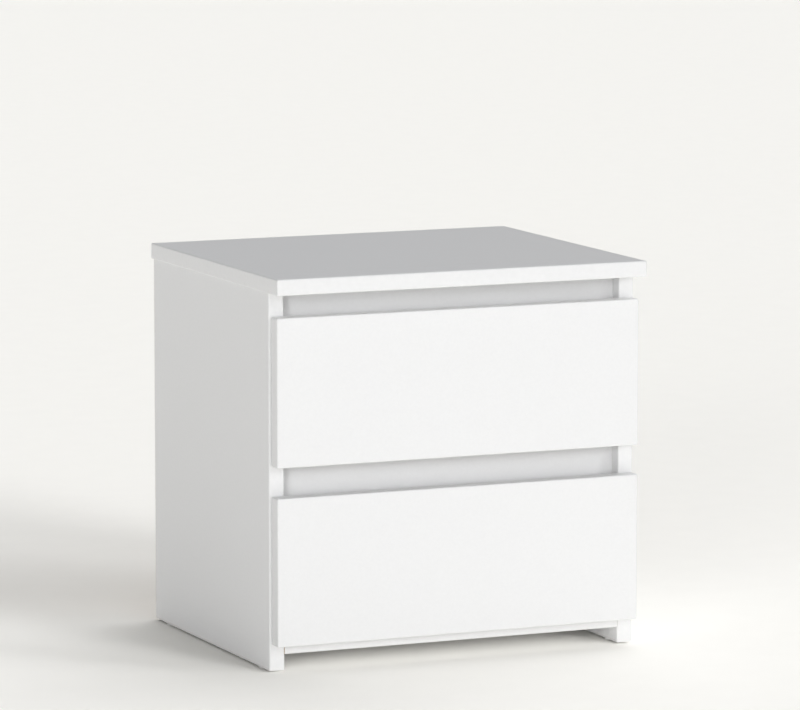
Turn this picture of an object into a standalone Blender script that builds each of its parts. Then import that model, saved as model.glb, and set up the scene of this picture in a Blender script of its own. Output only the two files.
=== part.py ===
"""Bedside cabinet with two drawers, flat-pack construction in 16 mm faced board.

Run with: blender --background --python part.py

Frame: metres, +Z up, front faces -Y, +X to the right of someone facing the front. The origin is on the floor
under the centre of the top panel. Every board, runner, roller, pin, cam and glide is an object of its own.
"""

import math

import bmesh
import bpy
from mathutils import Matrix, Vector

MM = 0.001

# Driving dimensions
BOARD = 16 * MM  # faced chipboard
HARDBOARD = 3 * MM  # back panel and drawer bottoms
TOP_WIDTH = 400 * MM
TOP_DEPTH = 343 * MM
BODY_WIDTH = 396 * MM  # across the outside of the side panels
SIDE_HEIGHT = 375.7 * MM
BODY_SETBACK = 27.5 * MM  # side panels' front edges, behind the top's front edge
GLIDE_HEIGHT = 1.5 * MM
BOTTOM_CLEARANCE = 17.5 * MM  # floor to the underside of the bottom panel
FRONT_WIDTH = 392 * MM
FRONT_HEIGHT = 148.4 * MM
FRONT_SETBACK = 10.5 * MM  # drawer fronts' faces, behind the top's front edge
LOWER_FRONT_Z = 27.8 * MM  # floor to the lower front's bottom edge
PULL_GAP = 29.7 * MM  # between the fronts, where the fingers go in
RAIL_HEIGHT = 48 * MM
RAIL_RECESS = 14.2 * MM  # rails' faces, behind the side panels' front edges
RUNNER_LENGTH = 300 * MM
RUNNER_SPACE = 12.5 * MM  # side panel to drawer box, each side
BOX_HEIGHT = 98 * MM
BOX_LENGTH = 298 * MM
BOX_LIFT = 18 * MM  # front's bottom edge to the drawer bottom's underside

# Fits and finishes
SEAT_GAP = 0.3 * MM  # between solids that touch
EDGE_RADIUS = 1.5 * MM
GROOVE_DEPTH = 5 * MM
GROOVE_MARGIN = 0.5 * MM
BACK_INSET = 1 * MM
RAIL_CLEARANCE = 2.4 * MM  # middle rail's top edge, under the upper runners
CUT_OVERRUN = 1 * MM  # how far a cutter stands out of the face it enters

# Roller runners: heights are above the cabinet member's underside
SHEET = 1.2 * MM
BEND_RADIUS = 1.2 * MM
MEMBER_HEIGHT = 21 * MM
MEMBER_LOWER_LIP = 9.7 * MM
MEMBER_UPPER_LIP = 6.2 * MM
MEMBER_START = 1 * MM  # behind the side panel's front edge
LIP_CUTBACK = 26 * MM  # upper lip left off around the front roller
BOX_OVER_MEMBER = 7 * MM
DRAWER_FLANGE = 16 * MM
DRAWER_WEB_TOP = 23 * MM
DRAWER_UPPER_LIP = 9.2 * MM
DRAWER_MEMBER_LENGTH = 296 * MM
DRAWER_MEMBER_INSET = 1 * MM  # behind the drawer sides' front ends
ROLLER_RADIUS = 8.5 * MM
ROLLER_WIDTH = 6 * MM
ROLLER_BORE = 2.3 * MM
FRONT_ROLLER_HEIGHT = 13 * MM
REAR_ROLLER_HEIGHT = 10 * MM
FRONT_ROLLER_INSET = 12 * MM
REAR_ROLLER_INSET = 10 * MM
PIN_RADIUS = 2 * MM
PIN_COLLAR_RADIUS = 3.2 * MM
PIN_HEAD_RADIUS = 4.5 * MM
PIN_HEAD_THICKNESS = 1 * MM
PIN_COLLAR_ROOM = 1.4 * MM  # web to roller, where the pin's collar sits
PIN_END_RECESS = 0.1 * MM  # pin's tip, inside the web's far face

# Cam fittings and glides
CAM_RADIUS = 7.5 * MM
CAM_DEPTH = 12.5 * MM
CAM_RECESS = 0.1 * MM  # cam's slotted face, below the board's face
CAM_BORE_DEPTH = 12.9 * MM
CAM_FROM_EDGE = 24 * MM
CAM_SLOT_WIDTH = 1.8 * MM
CAM_SLOT_LENGTH = 8 * MM
CAM_SLOT_DEPTH = 3 * MM
FITTING_INSET = 50 * MM  # front and rear fittings, from the body's front and rear edges
GLIDE_RADIUS = 7 * MM
GLIDE_STEM_RADIUS = 2.5 * MM
GLIDE_STEM_LENGTH = 10 * MM
GLIDE_INSET = 30 * MM

# Facets
ROLLER_STEPS = 32
ROUND_STEPS = 20
BEND_STEPS = 3
SHARP_ANGLE = math.radians(35)

# Places that follow from the driving dimensions
TOP_FRONT_Y = -TOP_DEPTH / 2
TOP_REAR_Y = TOP_DEPTH / 2
SIDE_FRONT_Y = TOP_FRONT_Y + BODY_SETBACK
SIDE_REAR_Y = TOP_REAR_Y - HARDBOARD - SEAT_GAP
FACE_Y = TOP_FRONT_Y + FRONT_SETBACK
BOX_FRONT_Y = FACE_Y + BOARD + SEAT_GAP
RAIL_Y = SIDE_FRONT_Y + RAIL_RECESS
MEMBER_FRONT_Y = SIDE_FRONT_Y + MEMBER_START
SIDE_TOP_Z = GLIDE_HEIGHT + SIDE_HEIGHT
INSIDE = BODY_WIDTH / 2 - BOARD  # from the middle to a side panel's inner face
BOX_OUTSIDE = INSIDE - RUNNER_SPACE
FITTING_Y = (SIDE_FRONT_Y + FITTING_INSET, SIDE_REAR_Y - FITTING_INSET)
FRONT_Z = {"lower": LOWER_FRONT_Z, "upper": LOWER_FRONT_Z + FRONT_HEIGHT + PULL_GAP}
SIDES = {"left": -1, "right": 1}

kit = {}  # the collections and materials, made by set_up


def clear_scene():
    for old in list(bpy.data.objects):
        bpy.data.objects.remove(old)


def new_collection(name):
    made = bpy.data.collections.new(name)
    bpy.context.scene.collection.children.link(made)
    return made


def new_material(name, colour, roughness, metallic=0.0):
    """A plain surface finish; colour is linear RGB."""
    made = bpy.data.materials.new(name)
    made.use_nodes = True
    shader = made.node_tree.nodes["Principled BSDF"]
    shader.inputs["Base Color"].default_value = (*colour, 1.0)
    shader.inputs["Roughness"].default_value = roughness
    shader.inputs["Metallic"].default_value = metallic
    made.diffuse_color = (*colour, 1.0)
    return made


def set_up():
    """Empty the scene and make the collections and materials that the functions below share."""
    clear_scene()
    kit["parts"] = new_collection("bedside_cabinet")
    kit["cutters"] = new_collection("cutters")
    kit["cutters"].hide_render = True
    kit["board"] = new_material("white_board", (0.86, 0.86, 0.86), 0.45)
    kit["hardboard"] = new_material("hardboard", (0.55, 0.42, 0.30), 0.6)
    kit["runner"] = new_material("runner_enamel", (0.82, 0.82, 0.80), 0.35)
    kit["nylon"] = new_material("roller_nylon", (0.78, 0.78, 0.74), 0.4)
    kit["steel"] = new_material("pin_steel", (0.60, 0.61, 0.62), 0.3, 1.0)
    kit["zinc"] = new_material("cam_zinc", (0.55, 0.56, 0.57), 0.4, 1.0)
    kit["plastic"] = new_material("glide_plastic", (0.80, 0.80, 0.78), 0.5)


def link(obj, material, parent=None):
    """Put obj among the parts with its material, keeping its place when it gets a parent."""
    kit["parts"].objects.link(obj)
    obj.data.materials.clear()
    obj.data.materials.append(kit[material])
    if parent:
        obj.parent = parent
        obj.matrix_parent_inverse = parent.matrix_basis.inverted()
    return obj


def origin_empty(name, place):
    """An empty on a moving assembly's axis, which carries its pieces."""
    made = bpy.data.objects.new(name, None)
    made.empty_display_size = 0.03
    made.location = place
    kit["parts"].objects.link(made)
    return made


def box_mesh(name, size):
    mesh = bpy.data.meshes.new(name)
    shape = bmesh.new()
    bmesh.ops.create_cube(shape, size=1.0, matrix=Matrix.Diagonal((*size, 1.0)))
    shape.to_mesh(mesh)
    shape.free()
    return mesh


def board(name, low, high, material="board", parent=None, radius=EDGE_RADIUS):
    """A board between two opposite corners, with its edges eased."""
    low, high = Vector(low), Vector(high)
    made = bpy.data.objects.new(name, box_mesh(name, high - low))
    made.location = (low + high) / 2
    link(made, material, parent)
    if radius:
        ease = made.modifiers.new("eased_edges", "BEVEL")
        ease.width = radius
        ease.segments = 2
        ease.limit_method = "ANGLE"
    return made


def cut(target, cutter):
    """Take cutter's shape out of target."""
    kit["cutters"].objects.link(cutter)
    cutter.hide_render = True
    cutter.display_type = "WIRE"
    taken = target.modifiers.new("cut_" + cutter.name, "BOOLEAN")
    taken.operation = "DIFFERENCE"
    taken.solver = "EXACT"
    taken.object = cutter


def cut_box(target, name, corner, opposite):
    size = Vector(opposite) - Vector(corner)
    cutter = bpy.data.objects.new(name, box_mesh(name, [abs(length) for length in size]))
    cutter.location = Vector(corner) + size / 2
    cut(target, cutter)


def cut_bore(target, name, mouth, inward, radius, depth):
    """A round hole that goes in from its mouth along inward."""
    mesh = bpy.data.meshes.new(name)
    shape = bmesh.new()
    bmesh.ops.create_cone(
        shape,
        cap_ends=True,
        segments=ROUND_STEPS,
        radius1=radius,
        radius2=radius,
        depth=depth + CUT_OVERRUN,
    )
    shape.to_mesh(mesh)
    shape.free()
    cutter = bpy.data.objects.new(name, mesh)
    inward = Vector(inward)
    cutter.location = Vector(mouth) + inward * (depth - CUT_OVERRUN) / 2
    cutter.rotation_euler = inward.to_track_quat("Z", "Y").to_euler()
    cut(target, cutter)


def evaluated_mesh(source, name):
    """The mesh that source's modifiers or curve settings make. The source itself is removed."""
    bpy.context.scene.collection.objects.link(source)
    bpy.context.view_layer.update()
    graph = bpy.context.evaluated_depsgraph_get()
    mesh = bpy.data.meshes.new_from_object(source.evaluated_get(graph))
    mesh.name = name
    bpy.data.objects.remove(source)
    return mesh


def smooth(mesh):
    """Shade a mesh smooth except across its sharp edges."""
    mesh.shade_smooth()
    mesh.set_sharp_from_angle(angle=SHARP_ANGLE)


def turned(name, profile, place, axis, material, parent=None, steps=ROUND_STEPS):
    """A turned piece at place. The profile is (radius, height) points down its outer side, height along axis.

    A profile that starts and ends on the axis is solid. Any other is closed into a ring.
    """
    outline = bpy.data.meshes.new(name + "_profile")
    points = [(radius, 0.0, height) for radius, height in profile]
    edges = [(i, i + 1) for i in range(len(points) - 1)]
    if profile[0][0] > 0:
        edges.append((len(points) - 1, 0))
    outline.from_pydata(points, edges, [])
    blank = bpy.data.objects.new(name + "_profile", outline)
    spin = blank.modifiers.new("turned", "SCREW")
    spin.steps = steps
    spin.render_steps = steps
    spin.use_merge_vertices = True
    spin.merge_threshold = 0.00001
    mesh = evaluated_mesh(blank, name)
    smooth(mesh)
    made = bpy.data.objects.new(name, mesh)
    made.location = place
    made.rotation_euler = Vector(axis).to_track_quat("Z", "Y").to_euler()
    return link(made, material, parent)


def rounded_path(corners, radius):
    """The path through corners, with each bend an arc."""
    path = [Vector(corners[0])]
    for before, corner, after in zip(corners, corners[1:], corners[2:]):
        before, corner, after = Vector(before), Vector(corner), Vector(after)
        into = (corner - before).normalized()
        out = (after - corner).normalized()
        turn = into.angle_signed(out)
        reach = radius * math.tan(abs(turn) / 2)
        start = corner - into * reach
        across = Vector((-into.y, into.x)) * math.copysign(radius, -turn)
        centre = start + across
        for i in range(BEND_STEPS + 1):
            path.append(centre + Matrix.Rotation(-turn * i / BEND_STEPS, 2) @ (start - centre))
    path.append(Vector(corners[-1]))
    return path


def sheet_outline(corners, thickness=SHEET, radius=BEND_RADIUS):
    """The closed outline of bent sheet whose middle follows corners."""
    path = rounded_path(corners, radius)
    left, right = [], []
    for i, point in enumerate(path):
        before = path[max(i - 1, 0)]
        after = path[min(i + 1, len(path) - 1)]
        along = (after - before).normalized()
        across = Vector((-along.y, along.x)) * thickness / 2
        left.append(point + across)
        right.append(point - across)
    return left + right[::-1]


def bent_sheet(name, corners, side, place, length, parent=None):
    """A length of bent sheet running front to back.

    corners are (distance from the side panel, height) along the sheet's middle. side is -1 on the left.
    """
    outline = bpy.data.curves.new(name, "CURVE")
    outline.dimensions = "2D"
    outline.fill_mode = "BOTH"
    outline.extrude = length / 2
    points = sheet_outline(corners)
    spline = outline.splines.new("POLY")
    spline.points.add(len(points) - 1)
    for control, point in zip(spline.points, points):
        control.co = (-side * point.x, point.y, 0.0, 1.0)
    spline.use_cyclic_u = True
    mesh = evaluated_mesh(bpy.data.objects.new(name + "_outline", outline), name)
    shape = bmesh.new()
    shape.from_mesh(mesh)
    bmesh.ops.remove_doubles(shape, verts=shape.verts, dist=0.00001)
    bmesh.ops.recalc_face_normals(shape, faces=shape.faces)
    shape.to_mesh(mesh)
    shape.free()
    smooth(mesh)
    made = bpy.data.objects.new(name, mesh)
    made.location = Vector(place) + Vector((0, length / 2, 0))
    made.rotation_euler = (math.pi / 2, 0, 0)
    return link(made, "runner", parent)


def roller(name, place, parent=None):
    """A nylon roller on the X axis, with its hub standing level with the rim."""
    half = ROLLER_WIDTH / 2
    rim = 1.0 * MM
    profile = [
        (ROLLER_BORE, half),
        (ROLLER_RADIUS - rim, half),
        (ROLLER_RADIUS, half - rim),
        (ROLLER_RADIUS, rim - half),
        (ROLLER_RADIUS - rim, -half),
        (ROLLER_BORE, -half),
    ]
    return turned(name, profile, place, (1, 0, 0), "nylon", parent, ROLLER_STEPS)


def roller_pin(name, place, head_way, parent=None):
    """A riveted pin with its head at the roller's free face and a collar next to the runner's web.

    head_way is the X direction from the web to the head.
    """
    half = ROLLER_WIDTH / 2
    head = half + SEAT_GAP
    collar = -head
    collar_end = collar - PIN_COLLAR_ROOM + 2 * SEAT_GAP
    tip = -half - PIN_COLLAR_ROOM - SHEET + PIN_END_RECESS
    profile = [
        (0, head + PIN_HEAD_THICKNESS),
        (PIN_HEAD_RADIUS, head + PIN_HEAD_THICKNESS),
        (PIN_HEAD_RADIUS, head),
        (PIN_RADIUS, head),
        (PIN_RADIUS, collar),
        (PIN_COLLAR_RADIUS, collar),
        (PIN_COLLAR_RADIUS, collar_end),
        (PIN_RADIUS, collar_end),
        (PIN_RADIUS, tip),
        (0, tip),
    ]
    return turned(name, profile, place, (head_way, 0, 0), "steel", parent)


def bore_web(member, name, side_plane, pin):
    """The pin's hole through a runner's web, which lies next to side_plane."""
    reach = 2 * SHEET
    mouth = (side_plane - reach, pin[1], pin[2])
    cut_bore(member, name, mouth, (1, 0, 0), PIN_RADIUS + SEAT_GAP, 2 * reach)


def cam(name, target, face, inward, parent=None):
    """A cam housing in a bore of target, its slotted face level with the board's face."""
    inward = Vector(inward)
    cut_bore(target, name + "_bore", face, inward, CAM_RADIUS + SEAT_GAP, CAM_BORE_DEPTH)
    top = Vector(face) + inward * CAM_RECESS
    profile = [(0, CAM_DEPTH), (CAM_RADIUS, CAM_DEPTH), (CAM_RADIUS, 0), (0, 0)]
    made = turned(name, profile, top + inward * CAM_DEPTH, -inward, "zinc", parent)
    across = [axis for axis in Matrix.Identity(3).col if not axis.dot(inward)]
    for number, along in enumerate(across):
        other = across[1 - number]
        reach = along * CAM_SLOT_LENGTH / 2 + other * CAM_SLOT_WIDTH / 2 + inward * CAM_SLOT_DEPTH
        cut_box(made, f"{name}_slot_{number}", top - reach, top + reach)
    return made


def glide(name, target, x, y):
    """A floor glide: a low disc with a stem pressed into the side panel's bottom edge."""
    rounding = 0.5 * MM
    disc = GLIDE_HEIGHT - SEAT_GAP
    cut_bore(
        target,
        name + "_bore",
        (x, y, GLIDE_HEIGHT),
        (0, 0, 1),
        GLIDE_STEM_RADIUS + SEAT_GAP,
        GLIDE_STEM_LENGTH + SEAT_GAP,
    )
    profile = [
        (0, disc + GLIDE_STEM_LENGTH),
        (GLIDE_STEM_RADIUS - rounding, disc + GLIDE_STEM_LENGTH),
        (GLIDE_STEM_RADIUS, disc + GLIDE_STEM_LENGTH - rounding),
        (GLIDE_STEM_RADIUS, disc),
        (GLIDE_RADIUS, disc),
        (GLIDE_RADIUS, rounding),
        (GLIDE_RADIUS - rounding, 0),
        (0, 0),
    ]
    return turned(name, profile, (x, y, 0), (0, 0, 1), "plastic")


def build_side(side_name, side):
    """A side panel with its glides and the cams that hold the top panel."""
    inner, outer = side * INSIDE, side * BODY_WIDTH / 2
    panel = board(
        f"side_panel_{side_name}",
        (min(inner, outer), SIDE_FRONT_Y, GLIDE_HEIGHT),
        (max(inner, outer), SIDE_REAR_Y, SIDE_TOP_Z),
    )
    for place, y in zip(("front", "rear"), FITTING_Y):
        face = (inner, y, SIDE_TOP_Z - CAM_FROM_EDGE)
        cam(f"top_cam_{place}_{side_name}", panel, face, (side, 0, 0))
    middle = (inner + outer) / 2
    glide(f"floor_glide_front_{side_name}", panel, middle, SIDE_FRONT_Y + GLIDE_INSET)
    glide(f"floor_glide_rear_{side_name}", panel, middle, SIDE_REAR_Y - GLIDE_INSET)


def build_bottom():
    """The bottom panel with the cams in its underside that hold the side panels."""
    width = INSIDE - SEAT_GAP
    panel = board(
        "bottom_panel",
        (-width, SIDE_FRONT_Y, BOTTOM_CLEARANCE),
        (width, SIDE_REAR_Y, BOTTOM_CLEARANCE + BOARD),
    )
    for side_name, side in SIDES.items():
        for place, y in zip(("front", "rear"), FITTING_Y):
            face = (side * (width - CAM_FROM_EDGE), y, BOTTOM_CLEARANCE)
            cam(f"bottom_cam_{place}_{side_name}", panel, face, (0, 0, 1))


def member_z(level):
    """Height of the cabinet member's underside for the lower or upper drawer."""
    return FRONT_Z[level] + BOX_LIFT - BOX_OVER_MEMBER


def build_rail(name, top_z):
    """A cross rail on edge between the side panels."""
    width = INSIDE - SEAT_GAP
    board(name, (-width, RAIL_Y, top_z - RAIL_HEIGHT), (width, RAIL_Y + BOARD, top_z))


def build_carcass():
    half = TOP_WIDTH / 2
    top_z = SIDE_TOP_Z + SEAT_GAP
    board("top_panel", (-half, TOP_FRONT_Y, top_z), (half, TOP_REAR_Y, top_z + BOARD))
    for side_name, side in SIDES.items():
        build_side(side_name, side)
    build_bottom()
    build_rail("upper_rail", SIDE_TOP_Z)
    build_rail("middle_rail", member_z("upper") - RAIL_CLEARANCE)
    width = BODY_WIDTH / 2 - BACK_INSET
    board(
        "back_panel",
        (-width, TOP_REAR_Y - HARDBOARD, BOTTOM_CLEARANCE),
        (width, TOP_REAR_Y, SIDE_TOP_Z),
        "hardboard",
        radius=0,
    )


def build_cabinet_runner(level, side_name, side):
    """The member screwed to the side panel, with the front roller that the drawer's flange rides on."""
    middle = SEAT_GAP + SHEET / 2
    z = member_z(level)
    corners = [
        (middle + MEMBER_UPPER_LIP, MEMBER_HEIGHT - SHEET / 2),
        (middle, MEMBER_HEIGHT - SHEET / 2),
        (middle, SHEET / 2),
        (middle + MEMBER_LOWER_LIP, SHEET / 2),
    ]
    name = f"{level}_{side_name}_cabinet_runner"
    member = bent_sheet(name, corners, side, (side * INSIDE, MEMBER_FRONT_Y, z), RUNNER_LENGTH)
    bend_end = SEAT_GAP + SHEET / 2 + BEND_RADIUS
    cut_box(
        member,
        name + "_lip_notch",
        (side * (INSIDE - bend_end), MEMBER_FRONT_Y - CUT_OVERRUN, z + MEMBER_HEIGHT - 2 * SHEET),
        (side * BOX_OUTSIDE, MEMBER_FRONT_Y + LIP_CUTBACK, z + MEMBER_HEIGHT + CUT_OVERRUN),
    )
    from_panel = SEAT_GAP + SHEET + PIN_COLLAR_ROOM + ROLLER_WIDTH / 2
    place = (
        side * (INSIDE - from_panel),
        MEMBER_FRONT_Y + FRONT_ROLLER_INSET,
        z + FRONT_ROLLER_HEIGHT,
    )
    bore_web(member, name + "_pin_bore", side * INSIDE, place)
    roller(f"{level}_{side_name}_front_roller", place)
    roller_pin(f"{level}_{side_name}_front_pin", place, -side)


def build_drawer_runner(level, side_name, side, carrier):
    """The member under the drawer box, with the rear roller that runs inside the cabinet member."""
    z = member_z(level)
    middle = RUNNER_SPACE - SEAT_GAP - SHEET / 2
    flange_z = BOX_OVER_MEMBER - SEAT_GAP - SHEET / 2
    corners = [
        (middle + DRAWER_FLANGE, flange_z),
        (middle, flange_z),
        (middle, DRAWER_WEB_TOP - SHEET / 2),
        (middle - DRAWER_UPPER_LIP + SHEET / 2, DRAWER_WEB_TOP - SHEET / 2),
    ]
    name = f"{level}_{side_name}_drawer_runner"
    start = BOX_FRONT_Y + DRAWER_MEMBER_INSET
    member = bent_sheet(name, corners, side, (side * INSIDE, start, z), DRAWER_MEMBER_LENGTH, carrier)
    from_panel = RUNNER_SPACE - SEAT_GAP - SHEET - PIN_COLLAR_ROOM - ROLLER_WIDTH / 2
    place = (
        side * (INSIDE - from_panel),
        start + DRAWER_MEMBER_LENGTH - REAR_ROLLER_INSET,
        z + REAR_ROLLER_HEIGHT,
    )
    bore_web(member, name + "_pin_bore", side * BOX_OUTSIDE, place)
    roller(f"{level}_{side_name}_rear_roller", place, carrier)
    roller_pin(f"{level}_{side_name}_rear_pin", place, side, carrier)


def build_front(level, carrier, bottom_z):
    """A drawer front with a stopped groove for the drawer bottom."""
    half = FRONT_WIDTH / 2
    low = FRONT_Z[level]
    front = board(
        f"{level}_drawer_front",
        (-half, FACE_Y, low),
        (half, FACE_Y + BOARD, low + FRONT_HEIGHT),
        parent=carrier,
    )
    groove_half = BOX_OUTSIDE + GROOVE_MARGIN
    cut_box(
        front,
        f"{level}_front_groove",
        (-groove_half, FACE_Y + BOARD - GROOVE_DEPTH, bottom_z - SEAT_GAP),
        (groove_half, FACE_Y + BOARD + CUT_OVERRUN, bottom_z + HARDBOARD + SEAT_GAP),
    )


def build_drawer(level):
    """A drawer: front, two sides, back, bottom and both runner members."""
    bottom_z = FRONT_Z[level] + BOX_LIFT
    wall_z = bottom_z + HARDBOARD + SEAT_GAP
    top_z = bottom_z + BOX_HEIGHT
    rear_y = BOX_FRONT_Y + BOX_LENGTH
    carrier = origin_empty(f"{level}_drawer_origin", (0, FACE_Y, FRONT_Z[level]))
    build_front(level, carrier, bottom_z)
    for side_name, side in SIDES.items():
        outer, inner = side * BOX_OUTSIDE, side * (BOX_OUTSIDE - BOARD)
        wall = board(
            f"{level}_drawer_side_{side_name}",
            (min(outer, inner), BOX_FRONT_Y, wall_z),
            (max(outer, inner), rear_y, top_z),
            parent=carrier,
        )
        face = (inner, BOX_FRONT_Y + CAM_FROM_EDGE, (wall_z + top_z) / 2)
        cam(f"{level}_drawer_cam_{side_name}", wall, face, (side, 0, 0), carrier)
    between = BOX_OUTSIDE - BOARD - SEAT_GAP
    board(
        f"{level}_drawer_back",
        (-between, rear_y - BOARD, wall_z),
        (between, rear_y, top_z),
        parent=carrier,
    )
    tongue = GROOVE_DEPTH - GROOVE_MARGIN
    board(
        f"{level}_drawer_bottom",
        (-BOX_OUTSIDE, FACE_Y + BOARD - tongue, bottom_z),
        (BOX_OUTSIDE, rear_y, bottom_z + HARDBOARD),
        "hardboard",
        carrier,
        radius=0,
    )
    for side_name, side in SIDES.items():
        build_drawer_runner(level, side_name, side, carrier)


def main():
    set_up()
    build_carcass()
    for level in FRONT_Z:
        for side_name, side in SIDES.items():
            build_cabinet_runner(level, side_name, side)
        build_drawer(level)


main()
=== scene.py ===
"""A white flat-pack bedside cabinet with two drawers: the looks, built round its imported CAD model.

Lengths are in metres in the CAD model's frame: +Z up, drawer fronts facing -Y, origin on the floor.
Boards, hardboard, runners, rollers and fittings each replace their plain CAD solid with a finished piece.
"""

import math

import bmesh
import bpy
from mathutils import Matrix, Vector


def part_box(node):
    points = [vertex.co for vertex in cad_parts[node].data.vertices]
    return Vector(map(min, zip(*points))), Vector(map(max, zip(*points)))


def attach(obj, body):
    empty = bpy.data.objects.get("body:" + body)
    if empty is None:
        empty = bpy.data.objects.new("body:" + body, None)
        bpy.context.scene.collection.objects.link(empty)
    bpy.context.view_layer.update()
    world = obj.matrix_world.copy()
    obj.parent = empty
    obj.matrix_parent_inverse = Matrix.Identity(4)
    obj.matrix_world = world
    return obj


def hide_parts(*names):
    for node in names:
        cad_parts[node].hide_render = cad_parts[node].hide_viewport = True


MM = 0.001

# Boards
BAND = 2.0 * MM  # edge band's thickness
BAND_RADIUS = 1.5 * MM
BAND_SEGMENTS = 5
RAW_ARRIS = 0.25 * MM
SEAM_WIDTH = 0.16 * MM
SEAM_DEPTH = 0.06 * MM
SHARP_ANGLE = math.radians(32)
SQUARE_ANGLE = math.radians(80)  # a board's edges that are still square fold by more than this
TOUCH = 1e-7  # points nearer than this to a plane lie in it
FOIL_FACE, BAND_FACE, RAW_FACE = 0, 1, 2  # material slots of a board

# Fits between pieces, as in the CAD model
SEAT_GAP = 0.3 * MM
BUTT_TAKEN_UP = 0.22 * MM  # of the CAD's clearance between two boards that are drawn together
GROOVE_DEPTH = 5 * MM
GROOVE_MARGIN = 0.5 * MM

# Fittings
CAM_RADIUS = 7.5 * MM
CAM_DEPTH = 12.5 * MM
CAM_RECESS = 0.1 * MM
CAM_BORE_DEPTH = 12.9 * MM
CAM_FROM_END = 24 * MM
CAM_FIRST_TURN, CAM_NEXT_TURN = math.radians(20), math.radians(47)  # no two tightened alike
SCREW_HEAD_RADIUS = 3.5 * MM
PANEL_SCREW_BORE_DEPTH = 7 * MM
PANEL_SCREW_HEIGHTS = (0.42, 0.82)  # as shares of the drawer side's height
NAIL_HEAD_RADIUS = 2.2 * MM
NAIL_DIMPLE = 0.9 * MM  # a nail's dimple is this deep, and this much wider than its head
HEAD_SUNK = 0.1 * MM  # a screw's or nail's head, under the face around it
BACK_NAILS_UP, BACK_NAILS_ACROSS, DRAWER_NAILS = 6, 4, 5
GLIDE_STEM_RADIUS = 2.5 * MM
ROUND_STEPS = 40

# Roller runners
SHEET = 1.2 * MM
BEND_RADIUS = 1.2 * MM
BEND_STEPS = 8
LIP_CUTBACK = 26 * MM
SLOT_WIDTH = 4.5 * MM
SINK_RADIUS = SCREW_HEAD_RADIUS + 0.4 * MM  # countersinks in the sheet
SINK_END_RADIUS = 2.0 * MM
SINK_DEPTH = 1.8 * MM
PUNCH_DEPTH = 4 * MM
STOP_HEIGHT = 12 * MM
# Screws and slots lie at shares of a runner's length, and each slot has its own length
CABINET_SCREWS = (0.12, 0.45, 0.86)
CABINET_SLOTS = ((0.19, 8 * MM), (0.36, 12 * MM), (0.55, 4.5 * MM), (0.66, 12 * MM), (0.78, 8 * MM))
DRAWER_SCREWS = (0.09, 0.5, 0.91)
DRAWER_SLOTS = ((0.17, 10 * MM), (0.38, 6 * MM), (0.62, 10 * MM), (0.8, 6 * MM))
ROLLER_RADIUS = 8.5 * MM
ROLLER_WIDTH = 6 * MM
ROLLER_BORE = 2.3 * MM
PIN_RADIUS = 2 * MM
PIN_HEAD_RADIUS = 4.5 * MM

# Camera and stage
CAMERA_PLACE = Vector((-2.1813, -5.0284, 1.0341))
CAMERA_YAW = math.radians(23.496)  # turned to the right of straight ahead
CAMERA_PITCH = math.radians(7.753)  # looking down
CAMERA_LENS = 244.63
FLOOR_SIZE = 80.0  # its far edge lies above the picture
FLOOR_COLOUR = (0.92, 0.907, 0.866)
BACKDROP_COLOUR = (0.905, 0.896, 0.863)
SURROUND = 0.07

# Soft, far lights: name, azimuth (0 in front of the cabinet, 90 at its right), elevation, spread, strength
LIGHTS = (
    ("front_light", 0, 15, 60, 1.10),
    ("front_right_light", 44, 18, 16, 0.58),
    ("front_left_light", -40, 8, 20, 1.02),
    ("left_rear_light", -135, 30, 110, 0.33),
    ("right_rear_light", 130, 55, 60, 1.36),
)
# The same, on the floor alone
FLOOR_LIGHTS = (
    ("floor_light", 53, 23, 26, 0.78),
    ("floor_front_light", 20, 11, 18, 2.65),
    ("floor_rear_light", 120, 50, 60, 0.24),
)
LIGHT_COLOUR = (0.99, 0.996, 1.01)
NARROW_LIGHT = math.radians(25)  # lights up to this spread cast no glare

# Sides of a box, as (axis, sign)
FRONT, REAR, LEFT, RIGHT, UNDER, UPPER = (1, -1), (1, 1), (0, -1), (0, 1), (2, -1), (2, 1)
SIDES = {"left": -1, "right": 1}
LEVELS = ("upper", "lower")

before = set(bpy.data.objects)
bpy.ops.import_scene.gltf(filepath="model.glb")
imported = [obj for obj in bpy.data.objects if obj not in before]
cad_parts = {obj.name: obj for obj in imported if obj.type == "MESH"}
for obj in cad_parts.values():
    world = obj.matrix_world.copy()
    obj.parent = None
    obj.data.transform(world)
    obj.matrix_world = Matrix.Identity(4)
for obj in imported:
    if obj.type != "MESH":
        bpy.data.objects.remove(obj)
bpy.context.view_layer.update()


# --- Materials ------------------------------------------------------------------------------------


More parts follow.
